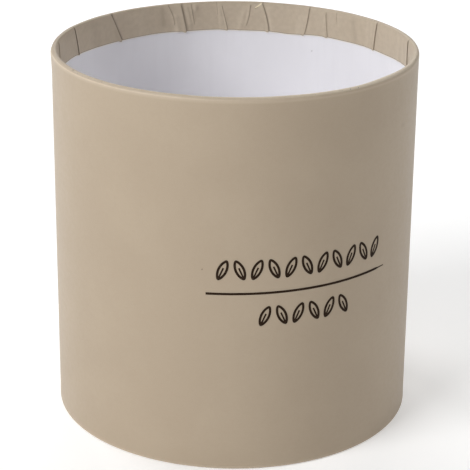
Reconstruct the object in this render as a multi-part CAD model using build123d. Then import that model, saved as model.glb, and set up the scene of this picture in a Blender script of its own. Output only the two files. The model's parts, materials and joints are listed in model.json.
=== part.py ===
from build123d import *

import math
import os

# A round flower box of rolled greyboard, covered in glued paper.
#
# Millimetres, +Z up. The origin is the centre of the footprint, on the surface that the box stands on.
# Bearings are degrees round the box, seen from above: 0 is the front (-Y), where the print goes,
# 90 is the right side (+X) and 180 is the back (+Y). Every sheet is glued to its neighbour, so
# nothing moves.

# Overall size, measured over the paper
OUTER_DIAMETER = 170.0
OVERALL_HEIGHT = 176.0

# Sheets and boards
WALL_BOARD_THICKNESS = 2.0
BASE_BOARD_THICKNESS = 2.0
WRAP_THICKNESS = 0.2
LINING_THICKNESS = 0.15
BASE_LINING_THICKNESS = 0.3
BASE_COVER_THICKNESS = 0.25
TAPE_THICKNESS = 0.12

# Wall board: one strip rolled into a hoop, with its ends butted and taped
RIM_ROUND = 0.8
FOOT_ROUND = 0.4
JOINT_BEARING = 120.0
JOINT_GAP = 0.3
TAPE_WIDTH = 30.0

# Lining: one sheet inside the board, with its ends butted
LINING_SEAM_BEARING = 352.0
LINING_SEAM_GAP = 0.4

# Wrap: one sheet outside the board, turned in over the rim and turned under the foot
TURN_IN_DEPTH = 15.0
TURN_UNDER_WIDTH = 12.0
WRAP_LAP_BEARING = 178.0
WRAP_LAP_WIDTH = 10.0

# Tucks: the turned-in paper is too long for the smaller circle inside, and folds the rest away.
# Each is the bearing of its middle and its lean off upright, in degrees. A positive lean carries
# the foot of the tuck towards higher bearings.
TUCKS = [
    (12, 5), (29, -12), (44, 9), (61, -6), (76.5, 1), (101.5, 8), (112, -10), (123.5, -5),
    (131.5, 10), (147, -14), (153, 18), (161, -17), (175.5, -13), (180, -15), (203, -22),
    (224.5, -18), (242, -7), (257, -9), (272, 6), (289, -14), (305, 8), (322, -5), (339, 11),
    (356, -9),
]
TUCK_WIDTH = 1.1
TUCK_HEIGHT = 0.35
TUCK_START = 1.6

# Fits
BASE_FIT = 0.1
BASE_LINING_GAP = 0.3
COVER_INSET = 4.0

# Radii, from the outside in
WRAP_OUTER = OUTER_DIAMETER / 2
BOARD_OUTER = WRAP_OUTER - WRAP_THICKNESS
BOARD_INNER = BOARD_OUTER - WALL_BOARD_THICKNESS
LINING_INNER = BOARD_INNER - LINING_THICKNESS
TURN_IN_INNER = LINING_INNER - WRAP_THICKNESS
BASE_BOARD_RADIUS = LINING_INNER - BASE_FIT
BASE_LINING_RADIUS = LINING_INNER - BASE_LINING_GAP
COVER_RADIUS = WRAP_OUTER - COVER_INSET
TURN_UNDER_INNER = WRAP_OUTER - TURN_UNDER_WIDTH

# Heights, from the ground up
BOARD_FOOT = BASE_COVER_THICKNESS + WRAP_THICKNESS
BASE_TOP = BOARD_FOOT + BASE_BOARD_THICKNESS
TURN_IN_FOOT = OVERALL_HEIGHT - TURN_IN_DEPTH
LAP_TOP = OVERALL_HEIGHT - RIM_ROUND - WRAP_THICKNESS
LAP_FOOT = BASE_COVER_THICKNESS + FOOT_ROUND + WRAP_THICKNESS
BOARD_TOP = OVERALL_HEIGHT - WRAP_THICKNESS

FULL_TURN = 360.0
X_AXIS_BEARING = 90.0
# How far a cutter reaches past the faces that it trims
OVERSHOOT = 1.0


def arc_angle(length, radius):
    """The angle, in degrees, that an arc of this length spans at this radius."""
    return math.degrees(length / radius)


def panel(inner, outer, low, high):
    """A rectangle of the radial section: X is the radius and Y is the height."""
    return Pos((inner + outer) / 2, (low + high) / 2) * Rectangle(outer - inner, high - low)


def turned(section, arc=FULL_TURN, bearing=0.0):
    """A radial section turned about the upright axis, over an arc centred on a bearing."""
    start = bearing - X_AXIS_BEARING - arc / 2
    return Rot(0, 0, start) * revolve(Plane.XZ * section, Axis.Z, arc)


def ring(inner, outer, low, high, arc=FULL_TURN, bearing=0.0):
    """A tube, or a stretch of one, between two radii and two heights."""
    return turned(panel(inner, outer, low, high), arc, bearing)


def disc(radius, low, high):
    """A flat round sheet between two heights."""
    return Pos(0, 0, low) * Cylinder(radius, high - low, align=(Align.CENTER, Align.CENTER, Align.MIN))


def seam_cutter(gap, radius, bearing):
    """A full-height slit through the wall, where the two ends of a rolled sheet meet."""
    reach = WALL_BOARD_THICKNESS + OVERSHOOT
    return ring(
        radius - reach, radius + reach, -OVERSHOOT, OVERALL_HEIGHT + OVERSHOOT,
        arc_angle(gap, radius), bearing,
    )


def wall_section(growth):
    """The rounded section of the board and the lining together, grown by a sheet's thickness."""
    section = panel(
        LINING_INNER - growth, BOARD_OUTER + growth, BOARD_FOOT - growth, BOARD_TOP + growth
    )
    section = fillet(section.vertices().group_by(Axis.Y)[-1], RIM_ROUND + growth)
    foot_corner = section.vertices().group_by(Axis.Y)[0].sort_by(Axis.X)[-1]
    return fillet(foot_corner, FOOT_ROUND + growth)


def make_joint_tape():
    """The kraft strip over the board's joint, pressed flush into its outside."""
    return ring(
        BOARD_OUTER - TAPE_THICKNESS, BOARD_OUTER, BOARD_FOOT + FOOT_ROUND, BOARD_TOP - RIM_ROUND,
        arc_angle(TAPE_WIDTH, BOARD_OUTER), JOINT_BEARING,
    )


def make_wall_board(tape):
    """The rolled greyboard hoop, with a bed for the tape."""
    inside = panel(0, BOARD_INNER, 0, OVERALL_HEIGHT)
    hoop = turned(wall_section(0) - inside)
    return hoop - tape - seam_cutter(JOINT_GAP, BOARD_OUTER, JOINT_BEARING)


def make_inner_lining():
    """The white sheet glued to the inside of the board."""
    outside = panel(BOARD_INNER, WRAP_OUTER, 0, OVERALL_HEIGHT)
    sheet = turned(wall_section(0) - outside)
    return sheet - seam_cutter(LINING_SEAM_GAP, LINING_INNER, LINING_SEAM_BEARING)


def make_tuck(bearing, lean):
    """One folded ridge of the turned-in paper: steep on one side and shallow on the other."""
    root = TURN_IN_INNER + WRAP_THICKNESS
    crest = TURN_IN_INNER - TUCK_HEIGHT
    half_width = TUCK_WIDTH / 2
    outline = Polygon(
        (root, -half_width), (root, half_width), (crest, -half_width), align=None
    )
    fold = Rot(lean, 0, 0) * extrude(outline, TURN_IN_DEPTH, both=True)
    top = OVERALL_HEIGHT - TUCK_START
    band = ring(crest - OVERSHOOT, root - WRAP_THICKNESS / 2, TURN_IN_FOOT, top)
    fold = (Pos(0, 0, (TURN_IN_FOOT + top) / 2) * fold) & band
    return Rot(0, 0, bearing - X_AXIS_BEARING) * fold


def make_outer_wrap():
    """The coloured sheet: outside, over the rim, down inside to its cut edge, and under the foot."""
    uncovered = panel(0, LINING_INNER, 0, TURN_IN_FOOT)
    turn_under = panel(TURN_UNDER_INNER, BOARD_OUTER - FOOT_ROUND, BASE_COVER_THICKNESS, BOARD_FOOT)
    sheet = turned(wall_section(WRAP_THICKNESS) - wall_section(0) - uncovered + turn_under)
    lap_arc = arc_angle(WRAP_LAP_WIDTH, WRAP_OUTER)
    outside_lap = ring(
        WRAP_OUTER - WRAP_THICKNESS / 2, WRAP_OUTER + WRAP_THICKNESS, LAP_FOOT, LAP_TOP,
        lap_arc, WRAP_LAP_BEARING,
    )
    inside_lap = ring(
        TURN_IN_INNER - WRAP_THICKNESS, TURN_IN_INNER + WRAP_THICKNESS / 2, TURN_IN_FOOT, LAP_TOP,
        lap_arc, WRAP_LAP_BEARING,
    )
    tucks = [make_tuck(bearing, lean) for bearing, lean in TUCKS]
    return sheet + [outside_lap, inside_lap] + tucks


def make_base_board():
    """The greyboard disc that closes the foot of the hoop."""
    return disc(BASE_BOARD_RADIUS, BOARD_FOOT, BASE_TOP)


def make_base_lining():
    """The white disc on the floor of the box."""
    return disc(BASE_LINING_RADIUS, BASE_TOP, BASE_TOP + BASE_LINING_THICKNESS)


def make_base_cover():
    """The disc under the box: flat on the ground, and dished up inside the turned-under paper."""
    step = TURN_UNDER_INNER
    dish = panel(0, step, BOARD_FOOT - BASE_COVER_THICKNESS, BOARD_FOOT)
    foot = panel(step - BASE_COVER_THICKNESS, COVER_RADIUS, 0, BASE_COVER_THICKNESS)
    return turned(dish + foot)


def make_parts():
    """Every piece by the name of its node."""
    tape = make_joint_tape()
    return {
        "wall_board": make_wall_board(tape),
        "joint_tape": tape,
        "inner_lining": make_inner_lining(),
        "outer_wrap": make_outer_wrap(),
        "base_board": make_base_board(),
        "base_lining": make_base_lining(),
        "base_cover": make_base_cover(),
    }


def main():
    """Build every piece and write it to its own file."""
    os.makedirs("parts", exist_ok=True)
    for name, shape in make_parts().items():
        export_step(shape, f"parts/{name}.step")
        print(f"{name}: {len(shape.solids())} solid, {shape.volume:.1f} mm3")


main()
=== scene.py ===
"""A round florist's box: taupe paper over a greyboard hoop, white inside, with a small dark print.

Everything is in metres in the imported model's own frame: +Z is up, the print faces -Y, and the origin is
the centre of the footprint. Bearings are degrees round the box seen from above: 0 is the front (-Y),
90 the right side (+X) and 180 the back (+Y).
"""
import json
import logging
import math
import random
from dataclasses import dataclass
from enum import Enum
from functools import cache

import bmesh
import bpy
import numpy as np
from mathutils import Matrix, Vector


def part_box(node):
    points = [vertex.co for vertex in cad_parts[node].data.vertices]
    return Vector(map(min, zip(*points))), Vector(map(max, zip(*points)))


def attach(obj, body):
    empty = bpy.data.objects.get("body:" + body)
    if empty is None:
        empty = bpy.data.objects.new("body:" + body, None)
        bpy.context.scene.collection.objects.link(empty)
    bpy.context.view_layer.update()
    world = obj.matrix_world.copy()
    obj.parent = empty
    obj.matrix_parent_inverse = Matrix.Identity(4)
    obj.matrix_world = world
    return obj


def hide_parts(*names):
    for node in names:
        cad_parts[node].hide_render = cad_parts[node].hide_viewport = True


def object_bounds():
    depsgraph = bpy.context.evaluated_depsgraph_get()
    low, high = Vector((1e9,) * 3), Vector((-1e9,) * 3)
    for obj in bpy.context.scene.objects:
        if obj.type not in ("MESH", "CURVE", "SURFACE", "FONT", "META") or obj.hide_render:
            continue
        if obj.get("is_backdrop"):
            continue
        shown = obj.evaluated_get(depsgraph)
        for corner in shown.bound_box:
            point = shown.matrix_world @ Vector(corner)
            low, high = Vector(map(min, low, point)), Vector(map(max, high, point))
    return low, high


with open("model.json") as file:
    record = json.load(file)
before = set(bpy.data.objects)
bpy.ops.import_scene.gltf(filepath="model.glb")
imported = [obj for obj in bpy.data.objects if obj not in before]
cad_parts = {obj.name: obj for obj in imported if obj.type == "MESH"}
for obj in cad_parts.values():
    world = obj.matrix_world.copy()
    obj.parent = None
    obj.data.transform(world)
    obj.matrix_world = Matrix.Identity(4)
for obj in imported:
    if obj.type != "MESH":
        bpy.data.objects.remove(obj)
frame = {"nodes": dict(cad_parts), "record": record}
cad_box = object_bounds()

LOG = logging.getLogger("flower_box")

MM = 0.001
FULL_TURN = 360.0
ROOT_BODY = "root"

NO_TUCK = -1
# Sheet attributes: painted shade (in creases, hollows, the lap's edge and the far rim), wear with painted
# highlight, the pale cut core, and where the relief acts.
SHEET_MARKS = ("crease", "rubbed", "core", "relief")

Colour = tuple[float, float, float]
Triples = tuple[tuple[float, float, float], ...]
Ring = dict[str, np.ndarray]


# ---- Sizes ----


def section_points(node: str) -> np.ndarray:
    """Read a CAD node's vertices as points of its radial section.

    Args:
        node: The name of the CAD node.

    Returns:
        One row for each vertex: its radius and its height.
    """
    return np.column_stack(ring_places(frame["nodes"][node].data))


def mount(name: str) -> dict:
    """The record's mount of this name."""
    return next(entry for entry in frame["record"]["mounts"] if entry["name"] == name)


@dataclass(frozen=True)
class BoxSizes:
    """Radii and heights of the sheets and boards."""

    wrap_radius: float
    board_radius: float
    lining_outer: float
    lining_radius: float
    turn_under_radius: float
    cover_radius: float
    floor_radius: float
    height: float
    turn_in_depth: float
    wrap_foot: float
    board_foot: float
    floor_low: float
    floor_high: float

    @classmethod
    def from_frame(cls) -> "BoxSizes":
        """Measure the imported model.

        Returns:
            The sizes that every visible sheet is made to.
        """
        height = mount("rim")["pos_m"][2]
        wrap = section_points("outer_wrap")
        lining = section_points("inner_lining")
        inside = wrap[wrap[:, 0] < lining[:, 0].min() - 0.1 * MM]
        under = wrap[wrap[:, 1] < wrap[:, 1].min() + 0.1 * MM]
        return cls(
            wrap_radius=mount("lid_spigot")["dims"]["r_mm"] * MM,
            board_radius=section_points("wall_board")[:, 0].max(),
            lining_outer=lining[:, 0].max(),
            lining_radius=lining[:, 0].min(),
            turn_under_radius=under[:, 0].min(),
            cover_radius=section_points("base_cover")[:, 0].max(),
            floor_radius=section_points("base_lining")[:, 0].max(),
            height=height,
            turn_in_depth=height - inside[inside[:, 1] > height / 2][:, 1].min(),
            wrap_foot=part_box("outer_wrap")[0].z,
            board_foot=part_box("wall_board")[0].z,
            floor_low=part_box("base_lining")[0].z,
            floor_high=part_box("base_lining")[1].z,
        )

    @property
    def wrap_sheet(self) -> float:
        """Thickness of the wrap."""
        return self.wrap_radius - self.board_radius

    @property
    def turn_in_radius(self) -> float:
        """Radius of the turned-in paper's face."""
        return self.lining_radius - self.wrap_sheet


def smooth_step(low: float, high: float, value: float | np.ndarray) -> float | np.ndarray:
    """Rise smoothly from 0 at low to 1 at high.

    Args:
        low: Where the rise starts.
        high: Where the rise ends.
        value: The values to map.

    Returns:
        Shares from 0 to 1.
    """
    share = np.clip((value - low) / (high - low), 0.0, 1.0)
    return share * share * (3.0 - 2.0 * share)


def degrees_from(bearing: np.ndarray, middle: float | np.ndarray) -> np.ndarray:
    """How many degrees each bearing is past a middle one, the short way round."""
    return (bearing - middle + FULL_TURN / 2) % FULL_TURN - FULL_TURN / 2


def bell(away: float | np.ndarray, half: float) -> float | np.ndarray:
    """A smooth hump: 1 in its middle, falling away over its half width."""
    return np.exp(-((away / half) ** 2))


def humps(bearing: np.ndarray, parts: Triples) -> np.ndarray:
    """Add up smooth humps.

    Args:
        bearing: The bearings to map, in degrees.
        parts: Each hump's bearing and half width in degrees, and its height in millimetres.

    Returns:
        The height at each bearing, in metres.
    """
    total = np.zeros_like(bearing)
    for middle, half, height in parts:
        total += height * MM * bell(degrees_from(bearing, middle), half)
    return total


def waves(bearing: np.ndarray, parts: Triples) -> np.ndarray:
    """Add up sine waves, each with its height, its count round the box and its phase in degrees."""
    return sum(height * np.sin(np.radians(count * bearing + phase)) for height, count, phase in parts)


# ---- Node trees ----


@dataclass(frozen=True)
class Wire:
    """A node's output, which takes part in sums as a number does."""

    tree: "Tree"
    socket: bpy.types.NodeSocket

    def __add__(self, other: object) -> "Wire":
        """This plus another value."""
        return self.tree.math("ADD", self, other)

    def __sub__(self, other: object) -> "Wire":
        """This less another value."""
        return self.tree.math("SUBTRACT", self, other)

    def __rsub__(self, other: object) -> "Wire":
        """Another value less this."""
        return self.tree.math("SUBTRACT", other, self)

    def __mul__(self, other: object) -> "Wire":
        """This times another value."""
        return self.tree.math("MULTIPLY", self, other)

    def __truediv__(self, other: object) -> "Wire":
        """This divided by another value."""
        return self.tree.math("DIVIDE", self, other)

    def __rtruediv__(self, other: object) -> "Wire":
        """Another value divided by this."""
        return self.tree.math("DIVIDE", other, self)


class Tree:
    """A node tree with short ways to add and join nodes."""

    def __init__(self, tree: bpy.types.NodeTree) -> None:
        """Wrap an empty or existing tree."""
        self.tree = tree

    def add(self, kind: str, inputs: dict | None = None, **settings: object) -> bpy.types.Node:
        """Add a node.

        Args:
            kind: The node's Blender type.
            inputs: Values or wires for its inputs, by name or number.
            settings: Properties of the node.

        Returns:
            The new node.
        """
        node = self.tree.nodes.new(kind)
        for name, value in settings.items():
            setattr(node, name, value)
        for name, value in (inputs or {}).items():
            self.feed(node.inputs[name], value)
        return node

    def wire(self, kind: str, inputs: dict | None = None, output: int | str = 0,
             **settings: object) -> Wire:
        """Add a node, as add does, and return one of its outputs."""
        return Wire(self, self.add(kind, inputs, **settings).outputs[output])

    def feed(self, socket: bpy.types.NodeSocket, value: object) -> None:
        """Join a wire to an input, or set the input's own value.

        Args:
            socket: The input.
            value: A wire, or a value. A colour may leave out its fourth part.
        """
        if isinstance(value, Wire):
            self.tree.links.new(value.socket, socket)
        elif socket.type == "RGBA" and len(value) == 3:
            socket.default_value = (*value, 1.0)
        else:
            socket.default_value = value

    def math(self, operation: str, first: object, second: object = 0.0, third: object = 0.0,
             clamp: bool = False) -> Wire:
        """Do a sum with up to three numbers."""
        return self.wire("ShaderNodeMath", {0: first, 1: second, 2: third},
                         operation=operation, use_clamp=clamp)

    def vector(self, operation: str, first: object, second: object = (0.0, 0.0, 0.0),
               output: int | str = 0) -> Wire:
        """Do a sum with two vectors."""
        return self.wire("ShaderNodeVectorMath", {0: first, 1: second}, output, operation=operation)

    def scaled(self, vector: object, scale: object) -> Wire:
        """Scale a vector by a number."""
        return self.wire("ShaderNodeVectorMath", {0: vector, "Scale": scale}, operation="SCALE")

    def span(self, value: object, low: object, high: object, new_low: float = 0.0,
             new_high: float = 1.0, smooth: bool = True) -> Wire:
        """Map a value from one range to another and hold it there.

        Args:
            value: The value to map.
            low: Where the old range starts.
            high: Where the old range ends.
            new_low: Where the new range starts.
            new_high: Where the new range ends.
            smooth: Whether it eases in and out.

        Returns:
            The mapped value.
        """
        return self.wire("ShaderNodeMapRange", {"Value": value, "From Min": low, "From Max": high,
                                                "To Min": new_low, "To Max": new_high},
                         interpolation_type="SMOOTHSTEP" if smooth else "LINEAR")


class GeometryTree(Tree):
    """A Geometry Nodes tree with named sizes, which leaves a plain mesh each time it is run."""

    def __init__(self, name: str, sizes: dict[str, float | int]) -> None:
        """Start a tree.

        Args:
            name: The tree's name.
            sizes: Its named inputs and the values that they start from. A whole number is a count.
        """
        super().__init__(bpy.data.node_groups.new(name, "GeometryNodeTree"))
        self.sizes = sizes
        self.identifiers: dict[str, str] = {}
        self.declare("Geometry", "NodeSocketGeometry", "OUTPUT")
        self.declare("Geometry", "NodeSocketGeometry")
        self.declare("Finish", "NodeSocketMaterial")
        for label, value in sizes.items():
            kind = "NodeSocketInt" if isinstance(value, int) else "NodeSocketFloat"
            self.declare(label, kind).default_value = value
        self.source = self.tree.nodes.new("NodeGroupInput")

    def declare(self, label: str, kind: str, side: str = "INPUT") -> bpy.types.NodeTreeInterfaceSocket:
        """Add a named socket to the tree's own inputs or outputs, and return it."""
        socket = self.tree.interface.new_socket(label, in_out=side, socket_type=kind)
        self.identifiers[label] = socket.identifier
        return socket

    def __getitem__(self, label: str) -> Wire:
        """The wire that carries a named input."""
        return Wire(self, self.source.outputs[label])

    def place_parts(self) -> list[Wire]:
        """The three parts of each point's place."""
        parts = self.add("ShaderNodeSeparateXYZ", {0: self.wire("GeometryNodeInputPosition")})
        return [Wire(self, socket) for socket in parts.outputs]

    def point(self, x: object = 0.0, y: object = 0.0, z: object = 0.0) -> Wire:
        """A vector from its three parts."""
        return self.wire("ShaderNodeCombineXYZ", {0: x, 1: y, 2: z})

    def moved(self, geometry: Wire, **place: object) -> Wire:
        """Geometry moved by an Offset or to a Position."""
        return self.wire("GeometryNodeSetPosition", {"Geometry": geometry, **place})

    def finish(self, geometry: Wire) -> "GeometryTree":
        """End the tree in Realize Instances and Set Material, and return it."""
        real = self.wire("GeometryNodeRealizeInstances", {"Geometry": geometry})
        dressed = self.wire("GeometryNodeSetMaterial", {"Geometry": real, "Material": self["Finish"]})
        self.feed(self.tree.nodes.new("NodeGroupOutput").inputs[0], dressed)
        return self

    def run(self, name: str, finish: "Finish", start: bpy.types.Mesh | None = None,
            **sizes: float | int) -> bpy.types.Mesh:
        """Run the tree and keep its result as a plain mesh.

        Args:
            name: The name of the mesh.
            finish: Its finish.
            start: The mesh that goes in, or nothing for a tree that makes its own.
            sizes: Values that differ from the tree's own, with underlines for spaces.

        Returns:
            The realized mesh.
        """
        maker = bpy.data.objects.new(name + "_maker", start or bpy.data.meshes.new(name + "_start"))
        bpy.context.scene.collection.objects.link(maker)
        modifier = maker.modifiers.new("maker", "NODES")
        modifier.node_group = self.tree
        modifier[self.identifiers["Finish"]] = finish.material()
        changed = {label.replace("_", " "): value for label, value in sizes.items()}
        for label, value in (self.sizes | changed).items():
            modifier[self.identifiers[label]] = value
        bpy.context.view_layer.update()
        graph = bpy.context.evaluated_depsgraph_get()
        mesh = bpy.data.meshes.new_from_object(maker.evaluated_get(graph), depsgraph=graph)
        maker.modifiers.remove(modifier)
        bpy.data.objects.remove(maker)
        mesh.name = name
        return mesh


def paper_relief_tree() -> GeometryTree:
    """Build the tree that makes a glued sheet swell a little along its normals.

    Returns:
        A tree with the swell's height, width, upright stretch and seed as inputs. The sheet's
        "relief" attribute says where it acts.
    """
    tree = GeometryTree("paper_relief", {"Swell Height": 0.05 * MM, "Swell Width": 10 * MM,
                                         "Upright Stretch": 2.0, "Seed": 1.0})
    across = 1.0 / tree["Swell Width"]
    scale = tree.point(across, across, across / tree["Upright Stretch"])
    place = tree.vector("MULTIPLY", tree.wire("GeometryNodeInputPosition"), scale)
    noise = tree.wire("ShaderNodeTexNoise",
                      {"Vector": place, "W": tree["Seed"], "Scale": 1.0, "Detail": 1.5},
                      noise_dimensions="4D")
    mask = tree.wire("GeometryNodeInputNamedAttribute", {"Name": "relief"}, data_type="FLOAT")
    swell = (noise - 0.5) * tree["Swell Height"] * 2.0 * mask
    along = tree.scaled(tree.wire("GeometryNodeInputNormal"), swell)
    return tree.finish(tree.moved(tree["Geometry"], Offset=along))


# ---- Finishes ----


class Shader(Tree):
    """A material's node tree, around one Principled shader."""

    def __init__(self, name: str) -> None:
        """Start a material."""
        self.material = bpy.data.materials.new(name)
        self.material.use_nodes = True
        super().__init__(self.material.node_tree)
        self.tree.nodes.clear()
        self.surface = self.add("ShaderNodeBsdfPrincipled")
        self.add("ShaderNodeOutputMaterial", {"Surface": Wire(self, self.surface.outputs[0])})
        self.place = self.wire("ShaderNodeTexCoord", output="Object")

    def noise(self, width: float, detail: float = 2.0, stretch: float = 1.0,
              roughness: float = 0.5) -> Wire:
        """Noise over the object's own coordinates.

        Args:
            width: The size of one blotch, in metres.
            detail: How many finer layers it has.
            stretch: How many times taller than wide a blotch is.
            roughness: How strong the finer layers are.

        Returns:
            The noise, from 0 to 1.
        """
        place = self.vector("MULTIPLY", self.place, (1 / width, 1 / width, 1 / (width * stretch)))
        return self.wire("ShaderNodeTexNoise", {"Vector": place, "Scale": 1.0, "Detail": detail,
                                                "Roughness": roughness})

    def specks(self, cell: float, size: float, share: float) -> Wire:
        """Sparse round specks.

        Args:
            cell: The size of the cell that may hold one speck, in metres.
            size: The radius of a speck, in metres.
            share: The share of cells that hold one.

        Returns:
            1 at the middle of a speck, falling to 0 at its edge.
        """
        cells = self.add("ShaderNodeTexVoronoi", {"Vector": self.scaled(self.place, 1 / cell),
                                                  "Scale": 1.0, "Randomness": 1.0}, feature="F1")
        away, colour = (Wire(self, cells.outputs[name]) for name in ("Distance", "Color"))
        draw = self.wire("ShaderNodeSeparateColor", {0: colour})
        return self.span(away, size / cell, 0.0) * self.math("LESS_THAN", draw, share)

    def stroke(self, mark: "Mark") -> Wire:
        """Find how strong a mark is at each place.

        Args:
            mark: The mark.

        Returns:
            Its strength along its stroke, falling to 0 at its edge.
        """
        start, end = mark.places()
        reach = end - start
        away = self.vector("SUBTRACT", self.place, tuple(start))
        along = self.vector("DOT_PRODUCT", away, tuple(reach), "Value")
        along = self.math("DIVIDE", along, max(reach.length_squared, 1e-12), clamp=True)
        gap = self.vector("DISTANCE", away, self.scaled(tuple(reach), along), "Value")
        return self.span(gap, mark.width * MM, 0.0, 0.0, mark.strength)

    def marked(self, colour: Wire, marks: "tuple[Mark, ...]") -> Wire:
        """Lay marks over a colour."""
        for mark in marks:
            colour = self.mix(self.stroke(mark), colour, mark.tone)
        return colour

    def attribute(self, name: str) -> Wire:
        """A number that the mesh carries at each vertex."""
        return self.wire("ShaderNodeAttribute", output="Fac", attribute_name=name)

    def mix(self, share: object, first: object, second: object) -> Wire:
        """Mix two colours by a share."""
        return self.wire("ShaderNodeMix", {0: share, 6: first, 7: second}, 2, data_type="RGBA")

    def bump(self, height: Wire, distance: float, strength: float = 1.0,
             under: Wire | None = None) -> Wire:
        """Turn a height into a bumped normal, on top of another one."""
        inputs = {"Height": height, "Distance": distance, "Strength": strength}
        return self.wire("ShaderNodeBump", inputs | ({"Normal": under} if under else {}))

    def dress(self, **sockets: object) -> bpy.types.Material:
        """Set the Principled shader's sockets, with underlines for spaces, and return the material."""
        for name, value in sockets.items():
            self.feed(self.surface.inputs[name.replace("_", " ")], value)
        return self.material


@dataclass(frozen=True)
class Mark:
    """A scuff, nick, smudge, painted shadow or painted shade: a soft stroke between two places, each a
    bearing and a height.

    The bearings are in degrees, and the heights, radius and half width in millimetres.
    """

    start: tuple[float, float]
    end: tuple[float, float]
    radius: float
    width: float
    tone: Colour
    strength: float = 1.0

    def places(self) -> tuple[Vector, Vector]:
        """Both ends of the stroke, in metres."""
        ends = []
        for bearing, height in (self.start, self.end):
            turn = math.radians(bearing)
            ends.append(Vector((self.radius * math.sin(turn), -self.radius * math.cos(turn), height)) * MM)
        return ends[0], ends[1]


@dataclass(frozen=True)
class CoatedPaper:
    """Taupe paper with a thin matt coating: worn and given painted highlights at its edges and ridges, with
    painted shade in its creases.
    """

    name: str = "taupe_paper"
    tone: Colour = (0.415, 0.332, 0.240)
    shade: Colour = (0.398, 0.316, 0.227)
    core: Colour = (0.90, 0.87, 0.82)
    # Dark brown for painted shade; the dust specks use it too.
    crease: Colour = (0.16, 0.115, 0.078)
    # Paler paper, for wear and for painted highlights; the grain flecks use it too.
    rubbed: Colour = (0.62, 0.525, 0.405)
    roughness: float = 0.5
    grain: float = 0.45 * MM
    cloud: float = 38 * MM
    marks: tuple[Mark, ...] = (
        Mark((150.3, 173.2), (148.4, 175.3), 82.4, 0.62, (0.90, 0.80, 0.58)),
        # A painted shadow along the scuff's lower edge.
        Mark((150.5, 172.7), (149.6, 173.4), 82.3, 0.35, (0.20, 0.15, 0.10), 0.6),
        Mark((279.7, 175.9), (279.1, 175.9), 84.0, 0.6, (0.13, 0.10, 0.075), 0.9),
        Mark((328.2, 97.7), (328.3, 97.9), 85.0, 0.45, (0.12, 0.09, 0.07), 0.8),
        # Painted shade standing in for a small dimple in the wall.
        Mark((39.8, 150.3), (41.0, 150.2), 85.0, 1.9, (0.27, 0.21, 0.15), 0.22),
    )

    def material(self) -> bpy.types.Material:
        """Build the finish.

        Returns:
            A material that reads the sheet's attributes for painted shade, for wear with painted highlight,
            and for the pale core.
        """
        shader = Shader(self.name)
        clouds = shader.noise(self.cloud, detail=3.0)
        grain = shader.noise(self.grain, detail=3.0, roughness=0.6)
        mottle = shader.noise(2.2 * MM, detail=2.0)
        colour = shader.mix(shader.span(clouds, 0.35, 0.65), self.tone, self.shade)
        colour = shader.mix(shader.span(grain, 0.2, 0.8, 0.0, 0.12, smooth=False), colour, self.rubbed)
        colour = shader.mix(shader.span(mottle, 0.4, 0.8, 0.0, 0.18), colour, self.shade)
        pimples = shader.specks(31 * MM, 0.75 * MM, 0.5)
        dust = shader.specks(17 * MM, 0.28 * MM, 0.35)
        # Dust specks, drawn in the dark brown of the painted shade.
        colour = shader.mix(shader.math("MULTIPLY", dust, 0.4), colour, self.crease)
        # Wear and painted highlight, from the sheet's attribute.
        wear_and_highlight_share = shader.math("MULTIPLY", shader.attribute("rubbed"), shader.span(mottle, 0.3, 0.7, 0.78, 1.0))
        colour = shader.mix(wear_and_highlight_share, colour, self.rubbed)
        # Painted shade, from the sheet's attribute.
        colour = shader.mix(shader.attribute("crease"), colour, self.crease)
        colour = shader.mix(shader.attribute("core"), colour, self.core)
        colour = shader.marked(colour, self.marks)
        fibre = shader.bump(grain, 0.012 * MM, 0.5)
        peel = shader.bump(shader.noise(1.3 * MM, detail=1.0), 0.02 * MM, 0.6, fibre)
        raised = shader.bump(pimples, 0.09 * MM, 0.9, peel)
        rough = shader.span(mottle, 0.2, 0.8, self.roughness - 0.05, self.roughness + 0.07, smooth=False)
        return shader.dress(Base_Color=colour, Roughness=rough, Normal=raised, Specular_IOR_Level=0.42,
                            Sheen_Weight=0.06, Sheen_Roughness=0.4)


@dataclass(frozen=True)
class WhitePaper:
    """Uncoated white paper with a cool cast, fine fibres and a few specks."""

    name: str = "uncoated_white"
    tone: Colour = (0.893, 0.885, 0.922)
    shade: Colour = (0.859, 0.850, 0.887)
    speck: Colour = (0.42, 0.40, 0.40)
    roughness: float = 0.82
    marks: tuple[Mark, ...] = (Mark((129.4, 153.4), (129.5, 153.1), 82.4, 0.6, (0.40, 0.38, 0.39), 0.7),)

    def material(self) -> bpy.types.Material:
        """Build the finish."""
        shader = Shader(self.name)
        clouds = shader.noise(26 * MM, detail=3.0, stretch=1.6)
        grain = shader.noise(0.5 * MM, detail=3.0, roughness=0.65)
        colour = shader.mix(shader.span(clouds, 0.35, 0.7), self.tone, self.shade)
        colour = shader.mix(shader.span(grain, 0.25, 0.8, 0.0, 0.3, smooth=False), colour, self.shade)
        specks = shader.specks(22 * MM, 0.4 * MM, 0.4)
        colour = shader.mix(shader.math("MULTIPLY", specks, 0.55), colour, self.speck)
        streaks = shader.noise(2.6 * MM, detail=2.0, stretch=16.0)
        colour = shader.mix(shader.span(streaks, 0.45, 0.75, 0.0, 0.6), colour, self.shade)
        colour = shader.marked(colour, self.marks)
        fibre = shader.bump(grain, 0.02 * MM, 0.5)
        cockle = shader.bump(shader.noise(7 * MM, detail=1.0, stretch=2.5), 0.06 * MM, 0.5, fibre)
        return shader.dress(Base_Color=colour, Roughness=self.roughness, Normal=cockle,
                            Specular_IOR_Level=0.25)


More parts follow.
